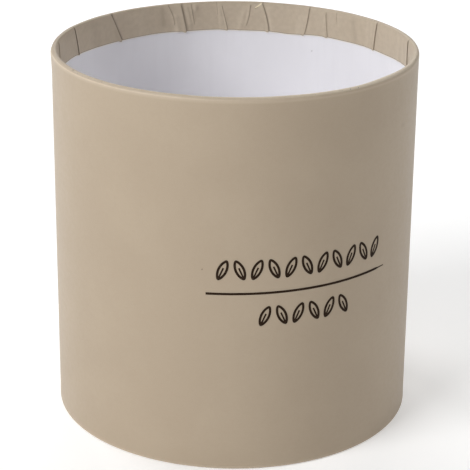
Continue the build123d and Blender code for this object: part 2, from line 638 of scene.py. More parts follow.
@dataclass(frozen=True)
class Greyboard:
    """Recycled board: grey-brown, fibrous, with light and dark flecks."""

    name: str = "recycled_board"
    tone: Colour = (0.36, 0.33, 0.29)
    shade: Colour = (0.29, 0.26, 0.225)
    fleck: Colour = (0.55, 0.52, 0.47)
    dark_fleck: Colour = (0.12, 0.10, 0.09)

    def material(self) -> bpy.types.Material:
        """Build the finish."""
        shader = Shader(self.name)
        pulp = shader.noise(1.6 * MM, detail=4.0, roughness=0.65)
        colour = shader.mix(shader.span(pulp, 0.35, 0.65), self.tone, self.shade)
        colour = shader.mix(shader.specks(1.9 * MM, 0.35 * MM, 0.4), colour, self.fleck)
        colour = shader.mix(shader.specks(3.1 * MM, 0.3 * MM, 0.3), colour, self.dark_fleck)
        rough = shader.bump(pulp, 0.05 * MM, 0.7)
        return shader.dress(Base_Color=colour, Roughness=0.9, Normal=rough, Specular_IOR_Level=0.2)


@dataclass(frozen=True)
class KraftTape:
    """Gummed brown paper with fibres along its length."""

    name: str = "gummed_kraft"
    tone: Colour = (0.42, 0.27, 0.15)
    shade: Colour = (0.34, 0.21, 0.115)

    def material(self) -> bpy.types.Material:
        """Build the finish."""
        shader = Shader(self.name)
        fibres = shader.noise(0.5 * MM, detail=3.0, stretch=9.0)
        colour = shader.mix(shader.span(fibres, 0.35, 0.65), self.tone, self.shade)
        return shader.dress(Base_Color=colour, Roughness=0.62, Normal=shader.bump(fibres, 0.02 * MM, 0.6),
                            Specular_IOR_Level=0.35)


@dataclass(frozen=True)
class PrintInk:
    """Dark brown screen ink, slightly thin where it missed the grain."""

    name: str = "brown_ink"
    tone: Colour = (0.022, 0.011, 0.005)
    thin: Colour = (0.058, 0.036, 0.022)

    def material(self) -> bpy.types.Material:
        """Build the finish."""
        shader = Shader(self.name)
        grain = shader.noise(0.45 * MM, detail=3.0, roughness=0.65)
        colour = shader.mix(shader.span(grain, 0.5, 0.8), self.tone, self.thin)
        return shader.dress(Base_Color=colour, Roughness=0.62, Normal=shader.bump(grain, 0.01 * MM, 0.6),
                            Specular_IOR_Level=0.1)


class Finish(Enum):
    """The finishes of the box, each with the record's material slot that it stands for."""

    WRAP = ("wrap_paper", CoatedPaper())
    COVER = ("cover_paper", CoatedPaper(name="foot_paper", roughness=0.56, marks=()))
    LINING = ("white_paper", WhitePaper())
    BOARD = ("greyboard", Greyboard())
    TAPE = ("kraft_tape", KraftTape())
    INK = ("print_ink", PrintInk())

    @property
    def slot(self) -> str:
        """The record's material slot."""
        return self.value[0]

    @cache
    def material(self) -> bpy.types.Material:
        """The finish's material, built the first time that it is asked for."""
        return self.value[1].material()


# ---- The wrap ----


@dataclass(frozen=True)
class Tuck:
    """One fold of the turned-in paper. Bearings are in degrees and lengths in millimetres."""

    top: float
    foot: float
    height: float = 0.36
    width: float = 1.0
    start: float = 0.3
    end: float = 99.0
    # dark: how strong the painted shade in the tuck's fold is.
    dark: float = 1.0
    side: float = 1.0
    bow: float = 0.0

    @property
    def lean(self) -> float:
        """How far the fold leans between the rim and the cut edge, in degrees."""
        return self.foot - self.top


@dataclass(frozen=True)
class Swell:
    """A soft ridge of the turned-in paper, or a hollow where its height is below zero.

    Bearings are in degrees and lengths in millimetres. Ridges get a painted highlight and hollows a painted
    shade.
    """

    top: float
    foot: float
    height: float
    width: float
    start: float = 0.0
    end: float = 99.0


@dataclass(frozen=True)
class FoldPoint:
    """One point across a tuck, in millimetres for a tuck of width 1.

    flat is where the point lies before the paper is folded, and folded after. height is a share of the
    tuck's own;
    the other two are shares of its painted shade, along the fold's edge, and of its painted highlight, on
    the ridge beside it.
    """

    flat: float
    folded: float
    height: float
    crease: float = 0.0
    rubbed: float = 0.0


@dataclass
class PaperWrap:
    """The taupe sheet: turned under the foot, up the outside, over the rim and tucked down inside."""

    sizes: BoxSizes
    outer_reach: float = 1.1 * MM
    outer_drop: float = 1.8 * MM
    rim_round: float = 0.9 * MM
    foot_round: float = 0.6 * MM
    column_step: float = 0.9
    wall_inset: float = 0.06 * MM
    lap_low: float = 174.6
    lap_high: float = 181.3
    tape_bearing: float = 120.0
    tape_half_angle: float = 10.1
    lap_rise: float = 0.16 * MM
    inner_lap_rise: float = 0.12 * MM
    tape_rise: float = 0.05 * MM
    pleat_height: float = 0.14 * MM
    tuck_rise: float = 2.2
    crease_rise: float = 0.8
    tuck_margin: float = 0.35
    slack: float = 0.16 * MM
    deepest_hollow: float = 0.12 * MM
    sag: float = 0.16 * MM
    sag_waves: Triples = ((0.2, 4, 25.0), (0.17, 9, -50.0), (0.13, 23, 80.0))
    cut_waves: Triples = ((0.16, 3, 40.0), (0.12, 7, -65.0), (0.07, 17, 10.0))
    hidden_tucks: int = 10
    seed: int = 7
    rim_swells: Triples = (
        (254.0, 5.0, 0.30), (228.0, 7.0, 0.10), (196.0, 9.0, 0.08), (146.0, 6.0, 0.08), (83.0, 7.0, 0.12),
        (40.0, 9.0, 0.08), (305.0, 8.0, 0.12), (342.0, 6.0, 0.06),
    )
    rim_lifts: Triples = ((30.0, 9.0, 0.25),)
    # A painted highlight on the rim's crown, on the near right.
    rim_crown_highlight: Triples = ((20.0, 46.0, 0.95),)
    inward_swells: Triples = ((30.0, 8.0, 0.7),)
    cut_swells: Triples = (
        (206.0, 13.0, 0.75), (139.0, 5.0, 0.85), (152.0, 8.0, 0.40), (97.0, 8.0, 0.70), (126.0, 5.0, -0.35),
    )
    seen_tucks: tuple[Tuck, ...] = (
        Tuck(244.5, 243.2, start=-0.2, dark=0.1, side=-1.0),
        Tuck(226.5, 223.5, height=0.34, start=-0.3, dark=0.75, side=-1.0),
        Tuck(205.5, 200.6, height=0.40, width=1.9, start=-0.4, dark=0.9),
        Tuck(181.8, 179.5, height=0.28, width=1.1, start=-0.2, end=11.5, dark=0.4, bow=1.4),
        Tuck(177.1, 175.0, height=0.46, width=2.0, start=-0.7, dark=0.45),
        Tuck(173.4, 171.7, height=0.30, width=0.75, start=0.2, end=12.0, dark=0.45),
        Tuck(164.2, 163.3, height=0.16, width=0.4, start=-0.5, end=7.5, dark=0.5),
        Tuck(162.6, 160.1, height=0.32, width=0.7, start=1.6, dark=0.5, bow=0.1),
        Tuck(152.3, 154.6, height=0.20, width=0.9, start=1.2, end=13.0, dark=0.5, bow=-1.0),
        Tuck(148.0, 145.6, width=1.2, start=-1.2, dark=0.6, bow=0.8),
        Tuck(130.7, 132.7, height=0.34, start=-0.2, dark=0.45, bow=-0.6),
        Tuck(124.3, 123.4, height=0.30, width=0.9, start=1.4, dark=0.35),
        Tuck(119.9, 119.8, height=0.12, width=0.6, start=0.4, end=7.0, dark=0.35),
        Tuck(100.6, 102.1, start=-0.3, dark=0.55),
        Tuck(76.4, 76.7, start=-0.4, dark=0.65),
    )
    swells: tuple[Swell, ...] = (
        Swell(184.0, 183.3, -0.28, 1.4, 0.2, 13.0),
        Swell(179.6, 177.9, 0.50, 1.5, 4.0),
        Swell(175.2, 172.9, 0.40, 1.0, 0.5, 13.0),
        Swell(171.9, 171.2, 0.50, 0.9, -0.8, 5.0),
        Swell(170.6, 169.0, -0.2, 1.4, 1.0, 9.0),
        Swell(163.4, 162.0, 0.40, 0.9, 0.5),
        Swell(153.9, 156.2, 0.26, 1.3, 2.0),
        Swell(145.9, 143.8, 0.34, 1.4, 0.5),
        Swell(132.6, 134.6, 0.34, 1.6, 4.0),
        Swell(125.6, 124.7, 0.30, 0.9, 3.0),
        Swell(118.7, 118.5, 0.34, 0.8, 0.4, 9.0),
        Swell(112.8, 111.0, -0.22, 1.4, 1.0),
        Swell(105.2, 105.6, 0.34, 0.8, 0.5),
        Swell(103.2, 103.9, 0.34, 0.7, 0.5),
        Swell(195.0, 192.0, 0.15, 3.0, 1.0),
        Swell(215.0, 213.0, -0.08, 3.0, 1.0),
        Swell(86.0, 86.4, 0.34, 0.8, 0.5),
        Swell(81.6, 82.0, 0.34, 0.7, 0.5),
    )
    fold: tuple[FoldPoint, ...] = (
        FoldPoint(-2.0, -2.0, 0.00),
        FoldPoint(-1.5, -1.5, 0.07),
        FoldPoint(-1.1, -1.1, 0.22),
        FoldPoint(-0.75, -0.78, 0.44, 0.0, 0.1),
        FoldPoint(-0.45, -0.48, 0.70, 0.0, 0.3),
        FoldPoint(-0.25, -0.20, 0.92, 0.0, 0.6),
        FoldPoint(-0.10, -0.03, 1.00, 0.1, 0.5),
        FoldPoint(0.00, 0.05, 0.93, 0.55),
        FoldPoint(0.08, 0.06, 0.72, 0.95),
        FoldPoint(0.16, 0.00, 0.50, 1.0),
        FoldPoint(0.26, -0.08, 0.28, 1.0),
        FoldPoint(0.38, -0.08, 0.04, 1.0),
        FoldPoint(0.52, 0.12, -0.02, 1.0),
        FoldPoint(0.70, 0.34, 0.00, 0.85),
        FoldPoint(0.90, 0.60, 0.04, 0.2, 0.1),
        FoldPoint(1.15, 0.95, 0.10, 0.0, 0.2),
        FoldPoint(1.45, 1.4, 0.08),
        FoldPoint(1.8, 1.8, 0.00),
    )

    def __post_init__(self) -> None:
        """Lay out the tucks and the columns."""
        self.tucks = sorted(self.seen_tucks + self.front_tucks(), key=lambda tuck: tuck.top)
        self.lay_out_columns()

    def front_tucks(self) -> tuple[Tuck, ...]:
        """Tucks for the near wall, as unevenly spaced as the others.

        Returns:
            Tucks between the two outermost seen ones, by way of the front.
        """
        draw = random.Random(self.seed)
        first, last = self.seen_tucks[0].top, self.seen_tucks[-1].top + FULL_TURN
        step = (last - first) / (self.hidden_tucks + 1)
        made = []
        for number in range(1, self.hidden_tucks + 1):
            top = (first + number * step + draw.uniform(-0.22, 0.22) * step) % FULL_TURN
            foot = top + draw.uniform(-2.6, 2.4)
            made.append(Tuck(top, foot, height=draw.uniform(0.22, 0.38), dark=draw.uniform(0.6, 1.0)))
        return tuple(made)

    def to_angle(self, length: float | np.ndarray) -> float | np.ndarray:
        """The angle in degrees of a length in millimetres round the turned-in face."""
        return np.degrees(length * MM / self.sizes.turn_in_radius)

    def millimetres_from(self, bearing: np.ndarray, middle: float | np.ndarray) -> np.ndarray:
        """The length in millimetres from a bearing, round the turned-in face."""
        return np.radians(degrees_from(bearing, middle)) * self.sizes.turn_in_radius / MM

    def lay_out_columns(self) -> None:
        """Place plain columns all round and a close set of columns across each tuck."""
        rows, blocked = [], []
        for number, tuck in enumerate(self.tucks):
            across = tuck.width * tuck.side
            for point in self.fold:
                bearing = tuck.top - self.to_angle(point.flat * across)
                shift = -self.to_angle((point.folded - point.flat) * across)
                rows.append((bearing, shift, point.height, point.crease, point.rubbed, number))
            reaches = (self.fold[0].flat - self.tuck_margin, self.fold[-1].flat + self.tuck_margin)
            blocked.append(sorted(tuck.top - self.to_angle(reach * across) for reach in reaches))
        count = round(FULL_TURN / self.column_step)
        for bearing in (column * FULL_TURN / count for column in range(count)):
            if not any(low < bearing + lap < high for low, high in blocked
                       for lap in (-FULL_TURN, 0.0, FULL_TURN)):
                rows.append((bearing, 0.0, 0.0, 0.0, 0.0, NO_TUCK))
        rows.sort(key=lambda row: row[0] % FULL_TURN)
        self.flat, self.fold_shift, self.rise, self.crease, self.rubbed, owner = np.array(rows, float).T
        self.owner = owner.astype(int)
        self.lean, self.bow = self.between_tucks("lean"), self.between_tucks("bow")

    def between_tucks(self, name: str) -> np.ndarray:
        """Spread one of the tucks' values over all columns.

        Args:
            name: The name of the value.

        Returns:
            The value of each column, passing evenly from one tuck to the next.
        """
        places, values = [], []
        for tuck in self.tucks:
            for edge in (self.fold[-1].flat, self.fold[0].flat):
                places.append(tuck.top - float(self.to_angle(edge * tuck.width * tuck.side)))
                values.append(getattr(tuck, name))
        order = np.argsort(places)
        return np.interp(self.flat, np.array(places)[order], np.array(values)[order], period=FULL_TURN)

    def per_tuck(self, name: str) -> np.ndarray:
        """One of the tucks' values for each column, and 0 outside the tucks."""
        return np.array([getattr(tuck, name) for tuck in self.tucks] + [0.0])[self.owner]

    def envelope(self, depth: np.ndarray, rise: float) -> np.ndarray:
        """How far each column's tuck has folded, from 0 to 1.

        Args:
            depth: Each column's depth below the rim, in millimetres.
            rise: How soon a tuck is fully folded below its start, in millimetres.

        Returns:
            A share for each column.
        """
        share = np.zeros_like(self.flat)
        for number, tuck in enumerate(self.tucks):
            mine = self.owner == number
            opened = smooth_step(tuck.start, tuck.start + rise, depth[mine])
            share[mine] = opened * (1.0 - smooth_step(tuck.end - 2.5, tuck.end, depth[mine]))
        return share

    def crease_shading(self, depth: np.ndarray) -> np.ndarray:
        """How much painted shade each column gets at a depth in millimetres, in its tuck's fold."""
        return self.crease * self.envelope(depth, self.crease_rise) * self.per_tuck("dark")

    def folding(self, folded: np.ndarray) -> np.ndarray:
        """How far each column stands off the wall in its tuck, in metres."""
        return self.rise * self.per_tuck("height") * MM * folded

    def swelling(self, bearing: np.ndarray, depth: np.ndarray, share: float) -> np.ndarray:
        """How far the soft ridges and hollows lift the turned-in paper.

        Args:
            bearing: The bearing of each column, in degrees.
            depth: Its depth below the rim, in millimetres.
            share: How far down it is, from 0 at the rim to 1 at the cut edge.

        Returns:
            The lift of each column, in metres.
        """
        total = np.zeros_like(bearing)
        for swell in self.swells:
            away = self.millimetres_from(bearing, swell.top + (swell.foot - swell.top) * share)
            faded = smooth_step(swell.start, swell.start + 2.5, depth)
            faded = faded * (1.0 - smooth_step(swell.end - 3.0, swell.end, depth))
            total += swell.height * MM * bell(away, swell.width) * faded
        return total

    def lap_share(self) -> np.ndarray:
        """1 where the sheet lies over its own other end: a crisp edge one side, a soft one the other."""
        turn = self.flat % FULL_TURN
        return smooth_step(self.lap_low, self.lap_low + 0.18, turn) * (
            1.0 - smooth_step(self.lap_high - 1.6, self.lap_high, turn))

    def tape_share(self) -> np.ndarray:
        """1 where the tape under the wrap lifts it a little."""
        away = np.abs(self.flat % FULL_TURN - self.tape_bearing)
        return 1.0 - smooth_step(self.tape_half_angle - 0.6, self.tape_half_angle + 0.6, away)

    def rim_sag(self) -> np.ndarray:
        """How far the rim lies below its highest point, in metres."""
        return self.sag * (0.5 + waves(self.flat, self.sag_waves)) - humps(self.flat, self.rim_lifts)

    def cut_depth(self, bearing: np.ndarray) -> np.ndarray:
        """Depth of the cut edge below the rim: nearly even, and lower beside each tuck.

        Args:
            bearing: The bearing of each column, in degrees.

        Returns:
            The depth at each column, in metres.
        """
        uneven = waves(bearing, self.cut_waves)
        for tuck in self.tucks:
            if tuck.end > self.sizes.turn_in_depth / MM:
                uneven += 1.3 * tuck.height * bell(self.millimetres_from(bearing, tuck.foot) - 0.7, 0.9)
        return self.sizes.turn_in_depth + (uneven - 0.15) * MM + humps(bearing, self.cut_swells)

    def ring(self, radius: float | np.ndarray, height: float | np.ndarray, bearing: np.ndarray,
             **marks: float | np.ndarray) -> Ring:
        """One ring of vertices.

        Args:
            radius: The radius of each vertex.
            height: The height of each vertex.
            bearing: The bearing of each vertex, in degrees.
            marks: Attribute values of each vertex, 0 where they aren't given.

        Returns:
            The ring's points and attributes, by name.
        """
        turn = np.radians(bearing)
        height = np.broadcast_to(height, turn.shape)
        made = {"points": np.column_stack([radius * np.sin(turn), -radius * np.cos(turn), height])}
        for name in SHEET_MARKS:
            made[name] = np.broadcast_to(marks.get(name, 0.0), turn.shape)
        return made

    def under_rings(self) -> list[Ring]:
        """The paper turned under the foot, gathered into small radial pleats."""
        inner, outer = self.sizes.turn_under_radius, self.sizes.wrap_radius - self.foot_round
        rings = []
        for share in (0.0, 0.35, 0.62, 0.72, 0.82, 0.92, 1.0):
            fade = 1.0 - smooth_step(0.80, 1.0, share)
            level = self.sizes.wrap_foot - self.rise * self.pleat_height * fade
            # The pleats' folds get painted shade.
            rings.append(self.ring(inner + share * (outer - inner), level, self.flat,
                                   crease=self.crease * 0.75 * fade, relief=0.3 * fade))
        return rings

    def wall_rings(self) -> list[Ring]:
        """The foot's round corner and the straight outside."""
        sizes = self.sizes
        rings = []
        foot = sizes.wrap_foot + self.foot_round
        top = sizes.height - self.outer_drop
        for angle in np.radians([22.5, 45.0, 67.5]):
            radius = sizes.wrap_radius - self.foot_round * (1.0 - math.sin(angle))
            rings.append(self.ring(radius, foot - self.foot_round * math.cos(angle), self.flat, rubbed=0.5))
        # A painted shade line along the lap's crisp edge.
        step = bell(self.flat % FULL_TURN - self.lap_low - 0.05, 0.12)
        lift = self.lap_share() * self.lap_rise + self.tape_share() * self.tape_rise - self.wall_inset
        swell = humps(self.flat, self.rim_swells)
        for share in np.concatenate([[0.0, 0.006, 0.02], np.linspace(0.05, 0.95, 25), [0.98, 0.994, 1.0]]):
            height = foot + share * (top - foot)
            fade = smooth_step(0.0, 0.02, share) * (1.0 - smooth_step(0.985, 1.0, share))
            rub = 0.35 * (1.0 - smooth_step(0.0, 1.2 * MM, min(height - foot, top - height)))
            radius = sizes.wrap_radius + lift * fade + swell * smooth_step(9.0 * MM, 0.0, top - height)
            rings.append(self.ring(radius, height, self.flat, crease=step * 0.5 * fade, rubbed=rub,
                                   relief=0.3))
        return rings

    def rim_rings(self) -> list[Ring]:
        """The paper bent over the rim: up off the wall, and down to the tucked face."""
        sizes = self.sizes
        rings = []
        swell, sag = humps(self.flat, self.rim_swells), self.rim_sag()
        # Painted highlight on the crown at the near right.
        crown_highlight = humps(self.flat, self.rim_crown_highlight) / MM
        leaning = humps(self.flat, self.inward_swells)
        # Painted shade on the rim's outer edge, deepest on the far side.
        far_rim_shade = 0.09 * (1.0 - np.cos(np.radians(self.flat + 22.0)))
        # Painted shade of each tuck's fold, carried up onto the crown.
        crown_shade = self.crease_shading(np.full_like(self.flat, -0.4)) * 0.5
        for degrees in (10.0, 20.0, 30.0, 40.0, 50.0, 60.0, 70.0, 82.0):
            sine, cosine = math.sin(math.radians(degrees)), math.cos(math.radians(degrees))
            # Along the outer shoulder: wear and a painted highlight; on the near right the painted
            # highlight moves onto the crown.
            edge = bell(degrees - 22.0, 12.0) * (1.0 - 0.95 * crown_highlight)
            rubbed = 0.12 + 0.88 * edge + crown_highlight * smooth_step(28.0, 48.0, degrees)
            rings.append(self.ring(
                sizes.wrap_radius - self.outer_reach * (1.0 - cosine) + swell * cosine,
                sizes.height - self.outer_drop + (self.outer_drop - sag) * sine, self.flat, relief=0.35,
                crease=np.maximum(crown_shade * (degrees > 65), far_rim_shade * bell(degrees - 88.0, 16.0)),
                rubbed=np.clip(rubbed, 0.0, 1.0)))
        for degrees in (98.0, 112.0, 126.0, 140.0, 154.0, 168.0):
            sine, cosine = math.sin(math.radians(degrees)), math.cos(math.radians(degrees))
            down = 1.0 - sine
            depth = np.full_like(self.flat, down * self.rim_round / MM)
            folded = self.envelope(depth, self.tuck_rise)
            rise = self.folding(folded) + leaning
            # The inner round is painted paler towards the band (painted highlight and wear), with painted
            # shade at the tucks and the far rim.
            rings.append(self.ring(
                sizes.turn_in_radius + self.rim_round * (1.0 + cosine) + rise * cosine,
                sizes.height - self.rim_round + (self.rim_round - sag) * sine,
                self.flat + self.fold_shift * folded, relief=0.35 + 0.65 * down,
                crease=np.maximum(self.crease_shading(depth) * 0.85, far_rim_shade * bell(degrees - 88.0, 16.0)),
                rubbed=np.clip(0.15 + 0.55 * down + crown_highlight, 0.0, 1.0)))
        return rings

    def turned_in(self, share: float, out: float = 0.0, below: float = 0.0, **marks: float) -> Ring:
        """One ring of the tucked face.

        Args:
            share: How far down from the rim to the cut edge it lies, from 0 to 1.
            out: How far it lies towards the wall from the face, as a share of the sheet.
            below: How far below that height it lies, in metres.
            marks: Attribute values to use instead of the tucks' own.

        Returns:
            The ring.
        """
        sizes = self.sizes
        edge = self.cut_depth(self.flat + self.lean)
        metres = self.rim_round + share * (edge - self.rim_round)
        depth = metres / MM
        folded = self.envelope(depth, self.tuck_rise)
        sway = share + self.bow * share * (1.0 - share)
        bearing = self.flat + self.lean * sway + self.fold_shift * folded
        swell = self.swelling(bearing, depth, share)
        rise = self.folding(folded) + np.maximum(swell, -self.deepest_hollow)
        rise += humps(self.flat, self.inward_swells) * (1.0 - smooth_step(1.0, 9.0, depth))
        rise += self.lap_share() * self.inner_lap_rise * smooth_step(0.0, 0.15, share)
        rise += self.slack * math.sin(math.pi * min(share * 1.1, 1.0))
        # The band is painted paler all over (at least 0.82 of the paler colour), with painted highlights on
        # fold ridges and swells, and painted shade in the folds and hollows.
        seen = {
            "crease": np.maximum(self.crease_shading(depth), np.maximum(-swell, 0.0) / MM * 0.4),
            "rubbed": np.clip(np.maximum(self.rubbed * folded, 0.82) + swell / MM * 0.9, 0.0, 1.0),
            "relief": 1.0,
        }
        radius = sizes.lining_radius - (sizes.wrap_sheet + rise) * (1.0 - out)
        return self.ring(radius, sizes.height - metres - below, bearing, **(seen | marks))

    def turn_in_rings(self) -> list[Ring]:
        """The tucked face, its cut edge, and the pale core that the cut shows."""
        shares = np.concatenate([[0.0, 0.03, 0.07], np.linspace(0.12, 0.92, 18), [0.942]])
        rings = [self.turned_in(share) for share in shares]
        # A darker line in the colour just above the cut edge, then the pale core.
        for share, dark, pale in ((0.952, 0.5, 0.0), (0.966, 0.5, 0.0), (0.971, 0.0, 1.0)):
            rings.append(self.turned_in(share, crease=dark, rubbed=0.3, core=pale, relief=0.9))
        for out, below, relief in ((0.12, 0.0, 0.8), (0.6, 0.05 * MM, 0.0)):
            rings.append(self.turned_in(1.0, out, below, core=1.0, crease=0.0, rubbed=0.0, relief=relief))
        return rings

    def back_rings(self) -> list[Ring]:
        """The glued side, from the cut edge back to the edge under the foot."""
        sizes, sheet = self.sizes, self.sizes.wrap_sheet
        rings = [self.turned_in(share, out=1.0, relief=0.0, crease=0.0, rubbed=0.0)
                 for share in (1.0, 0.66, 0.33, 0.0)]
        inner, reach, drop = self.rim_round - sheet, self.outer_reach - sheet, self.outer_drop - sheet
        corner = self.foot_round - sheet
        places = []
        for angle in np.radians([135.0, 90.0]):
            places.append((sizes.lining_radius + inner * (1.0 + math.cos(angle)),
                           sizes.height - self.rim_round + inner * math.sin(angle) - self.sag))
        for angle in np.radians([90.0, 45.0, 0.0]):
            places.append((sizes.board_radius - reach * (1.0 - math.cos(angle)),
                           sizes.height - self.outer_drop + (drop - self.sag) * math.sin(angle)))
        places += [(sizes.board_radius, sizes.board_foot + corner),
                   (sizes.board_radius - corner, sizes.board_foot),
                   (sizes.turn_under_radius, sizes.board_foot)]
        return rings + [self.ring(radius, height, self.flat) for radius, height in places]

    def mesh(self) -> bpy.types.Mesh:
        """Join the rings into one closed sheet.

        Returns:
            The sheet's mesh, with its attributes.
        """
        rings = (self.under_rings() + self.wall_rings() + self.rim_rings() + self.turn_in_rings()
                 + self.back_rings())
        columns = len(self.flat)
        points = np.concatenate([ring["points"] for ring in rings])
        start = np.arange(len(rings))[:, None] * columns + np.arange(columns)[None, :]
        above = np.roll(start, -1, axis=0)
        faces = np.stack([start, np.roll(start, -1, axis=1), np.roll(above, -1, axis=1), above], axis=-1)
        mesh = bpy.data.meshes.new("wrap_blank")
        mesh.from_pydata(points, [], faces.reshape(-1, 4).tolist())
        for name in SHEET_MARKS:
            write_mark(mesh, name, np.concatenate([ring[name] for ring in rings]))
        return mesh

    def build(self, relief: GeometryTree) -> bpy.types.Object:
        """Make the wrap and dress it."""
        mesh = relief.run("taupe_wrap", Finish.WRAP, tidy_mesh(self.mesh()), Swell_Height=0.15 * MM,
                          Swell_Width=6.0 * MM, Upright_Stretch=2.2, Seed=3.0)
        return settle(mesh, Finish.WRAP, "outer_wrap")


def tidy_mesh(mesh: bpy.types.Mesh, crease_angle: float = 55.0) -> bpy.types.Mesh:
    """Point a closed mesh's faces outwards and shade it smooth between its sharp edges.

    Args:
        mesh: The mesh, which is changed in place.
        crease_angle: The angle between two faces past which their edge is sharp, in degrees.

    Returns:
        The same mesh.
    """
    work = bmesh.new()
    work.from_mesh(mesh)
    bmesh.ops.recalc_face_normals(work, faces=work.faces)
    work.to_mesh(mesh)
    work.free()
    mesh.shade_smooth()
    mesh.set_sharp_from_angle(angle=math.radians(crease_angle))
    return mesh


def write_mark(mesh: bpy.types.Mesh, name: str, values: np.ndarray) -> None:
    """Write an attribute of a sheet, with one number for each vertex."""
    layer = mesh.attributes.new(name, "FLOAT", "POINT")
    layer.data.foreach_set("value", values.astype(np.float32))


def ring_places(mesh: bpy.types.Mesh) -> tuple[np.ndarray, np.ndarray]:
    """The radius and the height of each of a mesh's vertices."""
    points = np.array([vertex.co for vertex in mesh.vertices], float)
    return np.hypot(points[:, 0], points[:, 1]), points[:, 2]


def add_to_scene(name: str, data: bpy.types.ID) -> bpy.types.Object:
    """Make an object and put it in the scene."""
    thing = bpy.data.objects.new(name, data)
    bpy.context.scene.collection.objects.link(thing)
    return thing


def settle(mesh: bpy.types.Mesh, finish: Finish, *nodes: str) -> bpy.types.Object:
    """Make a finished mesh a piece with its body, and hide the CAD nodes that it stands for.

    Args:
        mesh: The finished mesh, which gives the piece its name.
        finish: Its finish; not used.
        nodes: The CAD nodes that it replaces.

    Returns:
        The piece.
    """
    piece = add_to_scene(mesh.name, mesh)
    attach(piece, ROOT_BODY)
    finish.slot
    if nodes:
        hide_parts(*nodes)
    return piece


# ---- Lining, floor and foot ----


@dataclass
class InnerLining:
    """The white sheet inside the wall, with its ends butted at the front."""

    sizes: BoxSizes
    seam_bearing: float = 352.0
    seam_gap: float = 0.4 * MM
    below_rim: float = 2 * MM
    smooth_band: float = 1 * MM
    columns: int = 300
    rows: int = 34

    def tree(self) -> GeometryTree:
        """Build the tree that bends a strip into an open hoop.

        Returns:
            A tree with the hoop's radii, heights, seam and counts as inputs.
        """
        tree = GeometryTree("lining_hoop", {
            "Inner Radius": 82 * MM, "Outer Radius": 83 * MM, "Foot": 0.0, "Top": 170 * MM,
            "Seam Bearing": 0.0, "Seam Gap": 0.4 * MM, "Columns": 100, "Rows": 10})
        inner, outer, low, high = (tree[label] for label in ("Inner Radius", "Outer Radius", "Foot", "Top"))
        half_gap = tree["Seam Gap"] / (inner * 2.0)
        start = tree.math("RADIANS", tree["Seam Bearing"] - 90.0) + half_gap
        arc = tree.wire("GeometryNodeCurveArc",
                        {"Resolution": tree["Columns"], "Radius": (inner + outer) * 0.5,
                         "Start Angle": start, "Sweep Angle": 2 * math.pi - half_gap * 2.0})
        strip = tree.wire("GeometryNodeCurvePrimitiveQuadrilateral",
                          {"Width": outer - inner, "Height": high - low})
        cuts = tree.wire("GeometryNodeSubdivideCurve", {"Curve": strip, "Cuts": tree["Rows"]})
        hoop = tree.wire("GeometryNodeCurveToMesh",
                         {"Curve": arc, "Profile Curve": cuts, "Fill Caps": True})
        return tree.finish(tree.moved(hoop, Offset=tree.point(z=(high + low) * 0.5)))

    def build(self, relief: GeometryTree) -> bpy.types.Object:
        """Make the lining and dress it."""
        sizes = self.sizes
        mesh = self.tree().run(
            "lining_blank", Finish.LINING, Inner_Radius=sizes.lining_radius,
            Outer_Radius=sizes.lining_outer, Foot=sizes.board_foot, Top=sizes.height - self.below_rim,
            Seam_Bearing=self.seam_bearing, Seam_Gap=self.seam_gap, Columns=self.columns, Rows=self.rows)
        radius, height = ring_places(mesh)
        facing_in = radius < (sizes.lining_radius + sizes.lining_outer) / 2
        below = height < sizes.height - sizes.turn_in_depth - self.smooth_band
        write_mark(mesh, "relief", facing_in & below)
        mesh = relief.run("white_lining", Finish.LINING, tidy_mesh(mesh), Swell_Height=0.06 * MM,
                          Swell_Width=16 * MM, Upright_Stretch=2.5, Seed=11.0)
        return settle(mesh, Finish.LINING, "inner_lining")


@dataclass
class FlatDisc:
    """A round sheet that lies flat, or is dished up inside a ring that it covers."""

    name: str
    finish: Finish
    node: str
    radius: float
    low: float
    high: float
    swell: float = 0.03 * MM
    swell_width: float = 14 * MM
    smooth_edge: float = 2.5 * MM
    dish_radius: float = 0.0
    dish_height: float = 0.0
    spokes: float = 0.0
    seed: float = 1.0

    def tree(self) -> GeometryTree:
        """Build the tree that makes a dished disc.

        Returns:
            A tree with the disc's radius, thickness, height and dish as inputs.
        """
        tree = GeometryTree(self.name + "_disc", {
            "Radius": 80 * MM, "Thickness": 0.3 * MM, "Underside": 0.0, "Dish Radius": 0.0,
            "Dish Height": 0.0, "Spoke Height": 0.0})
        radius, dish_radius = tree["Radius"], tree["Dish Radius"]
        disc = tree.wire("GeometryNodeMeshCylinder",
                         {"Vertices": 288, "Side Segments": 1, "Fill Segments": 60, "Radius": radius,
                          "Depth": tree["Thickness"]}, fill_type="TRIANGLE_FAN")
        x, y, _ = tree.place_parts()
        away = tree.math("SQRT", tree.math("POWER", x, 2.0) + tree.math("POWER", y, 2.0))
        turn = tree.math("ARCTAN2", y, x)
        wobble = tree.math("SINE", tree.math("MULTIPLY_ADD", turn, 61.0, 1.0))
        wobble = wobble * tree.math("SINE", turn * 23.0)
        inside = tree.span(away, dish_radius + 0.5 * MM, dish_radius - 0.9 * MM)
        edge_fade = tree.span(away, radius, radius - 2.0 * MM)
        ribs = tree.math("MAXIMUM", wobble * tree["Spoke Height"] * ((1.0 - inside) * edge_fade), 0.0)
        level = tree["Underside"] + tree["Thickness"] * 0.5 + (tree["Dish Height"] * inside + ribs)
        return tree.finish(tree.moved(disc, Offset=tree.point(z=level)))

    def build(self, relief: GeometryTree) -> bpy.types.Object:
        """Make the disc and dress it."""
        mesh = self.tree().run(
            self.name + "_blank", self.finish, Radius=self.radius,
            Thickness=self.high - self.low - self.dish_height, Underside=self.low,
            Dish_Radius=self.dish_radius, Dish_Height=self.dish_height, Spoke_Height=self.spokes)
        write_mark(mesh, "relief", ring_places(mesh)[0] < self.radius - self.smooth_edge)
        mesh = relief.run(self.name, self.finish, tidy_mesh(mesh), Swell_Height=self.swell,
                          Swell_Width=self.swell_width, Upright_Stretch=1.0, Seed=self.seed)
        return settle(mesh, self.finish, self.node)


# ---- Print ----


